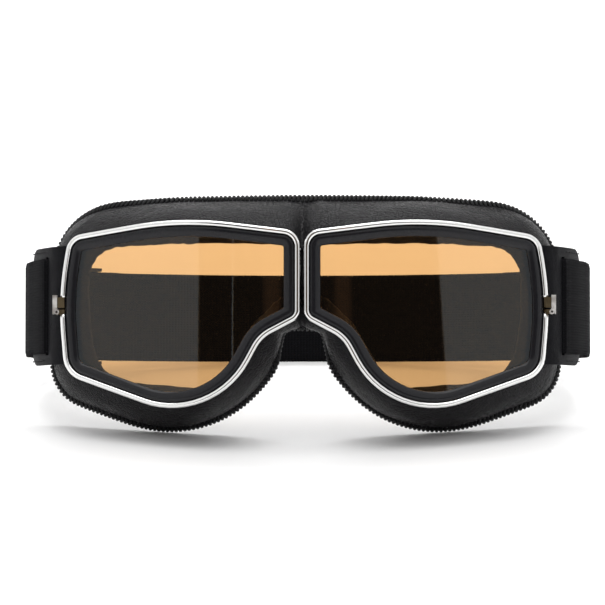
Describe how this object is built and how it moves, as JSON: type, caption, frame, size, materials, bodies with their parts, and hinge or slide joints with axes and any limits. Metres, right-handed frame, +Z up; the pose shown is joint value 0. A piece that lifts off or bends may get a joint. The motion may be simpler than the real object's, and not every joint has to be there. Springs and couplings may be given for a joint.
{
  "type": "goggles",
  "caption": "Vintage motorcycle goggles: chrome-rimmed tinted split lenses hinged at the nose, padded leather mask with overlocked edge, and an adjustable elastic strap.",
  "frame": {"origin": "centre of the bounding box's bottom, on the surface the goggles rest on", "axes": "+X to the wearer's left, +Y from the lenses towards the back of the strap, +Z up; the goggles lean back 12.8 degrees, resting on both cheeks and the back of the strap"},
  "size_m": [0.2024, 0.1503, 0.0807],
  "materials": {
    "chrome": "polished chrome plate",
    "steel": "dull zinc-plated steel",
    "gasket_rubber": "smooth, slightly glossy moulded rubber",
    "tinted_lens": "clear amber-brown tinted polycarbonate, polished",
    "mask_leather": "soft grained black leatherette",
    "tab_leather": "smooth black leather",
    "foam": "closed-cell foam pad",
    "face_fleece": "short black pile",
    "edge_thread": "black overlock thread",
    "elastic": "ribbed black elastic webbing",
    "slider_plastic": "moulded black plastic"
  },
  "bodies": {
    "left_eyepiece": {"left_rim": "chrome", "left_rim_lugs": "chrome", "left_latch_pin": "chrome", "left_gasket": "gasket_rubber", "left_lens": "tinted_lens", "left_backing_ring": "steel", "left_hinge_leaf": "steel", "left_hinge_rivets": "chrome", "left_cover": "mask_leather", "left_foam": "foam", "left_lining": "face_fleece", "left_edge_stitching": "edge_thread", "left_tab": "tab_leather", "left_tab_stitches": "edge_thread", "left_strap": "elastic", "left_strap_return": "elastic", "hinge_pin": "chrome", "brow_pad": "mask_leather", "nose_pad": "mask_leather", "strap_back": "elastic"},
    "right_eyepiece": {"right_rim": "chrome", "right_rim_lugs": "chrome", "right_latch_pin": "chrome", "right_gasket": "gasket_rubber", "right_lens": "tinted_lens", "right_backing_ring": "steel", "right_hinge_leaf": "steel", "right_hinge_rivets": "chrome", "right_cover": "mask_leather", "right_foam": "foam", "right_lining": "face_fleece", "right_edge_stitching": "edge_thread", "right_tab": "tab_leather", "right_tab_stitches": "edge_thread", "right_strap": "elastic", "right_strap_return": "elastic"},
    "left_latch_clip": {"left_latch": "chrome"},
    "right_latch_clip": {"right_latch": "chrome"},
    "left_strap_slider": {"left_slider": "slider_plastic"},
    "right_strap_slider": {"right_slider": "slider_plastic"}
  },
  "joints": [
    {"name": "nose_fold", "type": "hinge", "parent": "left_eyepiece", "child": "right_eyepiece", "pos_m": [0, -0.06055, 0.0573], "axis": [0, -0.2213, -0.9752], "range_deg": [0, 30], "deforming": ["brow_pad", "nose_pad", "strap_back"]},
    {"name": "left_latch_swing", "type": "hinge", "parent": "left_eyepiece", "child": "left_latch_clip", "pos_m": [0.08495, -0.04511, 0.04129], "axis": [0, 0.9752, -0.2213], "range_deg": [0, 90]},
    {"name": "right_latch_swing", "type": "hinge", "parent": "right_eyepiece", "child": "right_latch_clip", "pos_m": [-0.08495, -0.04511, 0.04129], "axis": [0, -0.9752, 0.2213], "range_deg": [0, 90]},
    {"name": "left_slider_travel", "type": "hinge", "parent": "left_eyepiece", "child": "left_strap_slider", "pos_m": [0.0456, 0.00696, 0.03122], "axis": [0, 0.2352, 0.9719], "range_deg": [-35, 11]},
    {"name": "right_slider_travel", "type": "hinge", "parent": "right_eyepiece", "child": "right_strap_slider", "pos_m": [-0.0456, 0.00696, 0.03122], "axis": [0, -0.2352, -0.9719], "range_deg": [-35, 11]}
  ]
}
